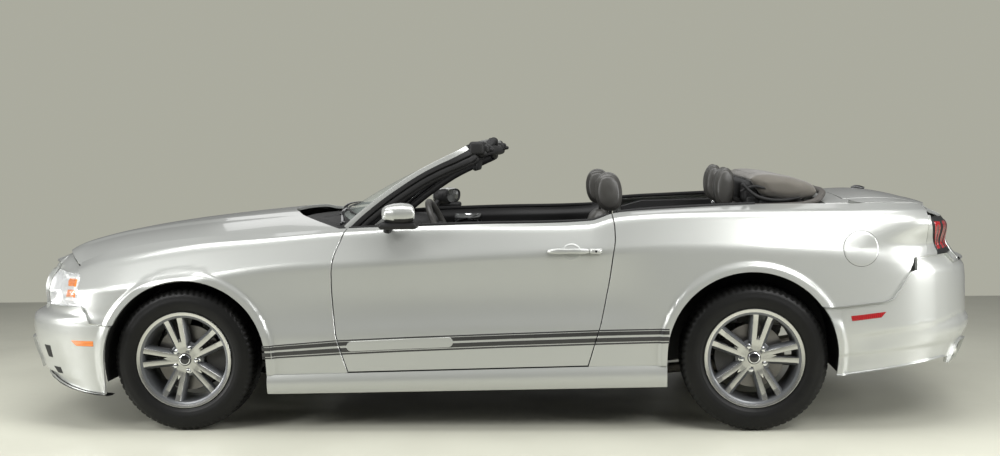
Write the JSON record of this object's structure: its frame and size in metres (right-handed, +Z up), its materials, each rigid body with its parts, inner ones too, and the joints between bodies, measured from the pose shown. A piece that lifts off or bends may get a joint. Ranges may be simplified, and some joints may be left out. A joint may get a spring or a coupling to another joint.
{
  "type": "muscle car convertible",
  "caption": "Silver two-door muscle car with its soft top folded down: hollow cabin, opening doors, hood and boot lid, steered front wheels and turning road wheels.",
  "frame": {"origin": "on the ground under the middle of the car", "axes": "+X to the front of the car, +Y to its left side, +Z up"},
  "size_m": [4.7875, 2.074, 1.382],
  "materials": {
    "silver_paint": "silver metallic clearcoat",
    "body_steel": "satin primer",
    "dark_metal": "satin",
    "black_plastic": "fine grain",
    "lamp_lens": "clear gloss",
    "red_lens": "gloss",
    "clear_glass": "gloss",
    "seat_leather": "soft grain",
    "top_fabric": "woven",
    "exhaust_steel": "satin",
    "tyre_rubber": "matte",
    "wheel_alloy": "machined",
    "disc_iron": "machined"
  },
  "bodies": {
    "body": {"floor_pan": "body_steel", "front_structure": "body_steel", "rear_structure": "body_steel", "engine": "dark_metal", "front_bumper": "silver_paint", "rear_bumper": "silver_paint", "fender_left": "silver_paint", "fender_right": "silver_paint", "quarter_left": "silver_paint", "quarter_right": "silver_paint", "side_skirts": "silver_paint", "grille": "black_plastic", "headlamps": "lamp_lens", "tail_lamps": "red_lens", "windshield_frame": "silver_paint", "windshield": "clear_glass", "cowl_panel": "black_plastic", "deck_panel": "silver_paint", "cabin_trim": "black_plastic", "dashboard": "black_plastic", "console": "black_plastic", "seat_left": "seat_leather", "seat_right": "seat_leather", "rear_seat": "seat_leather", "folded_top": "top_fabric", "front_suspension": "dark_metal", "rear_axle": "dark_metal", "exhaust_left": "exhaust_steel", "exhaust_right": "exhaust_steel"},
    "door_left": {"door_left": "silver_paint", "mirror_left": "silver_paint"},
    "door_right": {"door_right": "silver_paint", "mirror_right": "silver_paint"},
    "hood": {"hood": "silver_paint"},
    "trunk_lid": {"trunk_lid": "silver_paint"},
    "steering_wheel": {"steering_wheel": "black_plastic"},
    "knuckle_left": {"knuckle_left": "dark_metal"},
    "knuckle_right": {"knuckle_right": "dark_metal"},
    "wheel_front_left": {"tyre_front_left": "tyre_rubber", "rim_front_left": "wheel_alloy", "disc_front_left": "disc_iron"},
    "wheel_front_right": {"tyre_front_right": "tyre_rubber", "rim_front_right": "wheel_alloy", "disc_front_right": "disc_iron"},
    "wheel_rear_left": {"tyre_rear_left": "tyre_rubber", "rim_rear_left": "wheel_alloy", "disc_rear_left": "disc_iron"},
    "wheel_rear_right": {"tyre_rear_right": "tyre_rubber", "rim_rear_right": "wheel_alloy", "disc_rear_right": "disc_iron"}
  },
  "joints": [
    {"name": "door_left_hinge", "type": "hinge", "parent": "body", "child": "door_left", "pos_m": [0.613, 0.8985, 0.6], "axis": [0, 0, -1], "range_deg": [0, 65]},
    {"name": "door_right_hinge", "type": "hinge", "parent": "body", "child": "door_right", "pos_m": [0.613, -0.8985, 0.6], "axis": [0, 0, 1], "range_deg": [0, 65]},
    {"name": "hood_hinge", "type": "hinge", "parent": "body", "child": "hood", "pos_m": [0.702, 0, 0.95106], "axis": [0, -1, 0], "range_deg": [0, 55]},
    {"name": "trunk_hinge", "type": "hinge", "parent": "body", "child": "trunk_lid", "pos_m": [-1.594, 0, 1.041], "axis": [0, 1, 0], "range_deg": [0, 75]},
    {"name": "steer_left", "type": "hinge", "parent": "body", "child": "knuckle_left", "pos_m": [1.441, 0.725, 0.215], "axis": [0, -0.2258, 0.9742], "range_deg": [-33, 33]},
    {"name": "steer_right", "type": "hinge", "parent": "body", "child": "knuckle_right", "pos_m": [1.441, -0.725, 0.215], "axis": [0, 0.2258, 0.9742], "range_deg": [-33, 33]},
    {"name": "steering_wheel_turn", "type": "hinge", "parent": "body", "child": "steering_wheel", "pos_m": [0.233, 0.37, 0.911], "axis": [-0.9135, 0, 0.4067], "range_deg": [-520, 520]},
    {"name": "wheel_front_left_spin", "type": "hinge", "parent": "knuckle_left", "child": "wheel_front_left", "pos_m": [1.441, 0.786, 0.345], "axis": [0, 1, 0], "continuous": true},
    {"name": "wheel_front_right_spin", "type": "hinge", "parent": "knuckle_right", "child": "wheel_front_right", "pos_m": [1.441, -0.786, 0.345], "axis": [0, 1, 0], "continuous": true},
    {"name": "wheel_rear_left_spin", "type": "hinge", "parent": "body", "child": "wheel_rear_left", "pos_m": [-1.279, 0.794, 0.345], "axis": [0, 1, 0], "continuous": true},
    {"name": "wheel_rear_right_spin", "type": "hinge", "parent": "body", "child": "wheel_rear_right", "pos_m": [-1.279, -0.794, 0.345], "axis": [0, 1, 0], "continuous": true}
  ],
  "couplings": [
    {"joint": "steer_right", "follows": "steer_left", "ratio": 1},
    {"joint": "steering_wheel_turn", "follows": "steer_left", "ratio": 15.7}
  ]
}
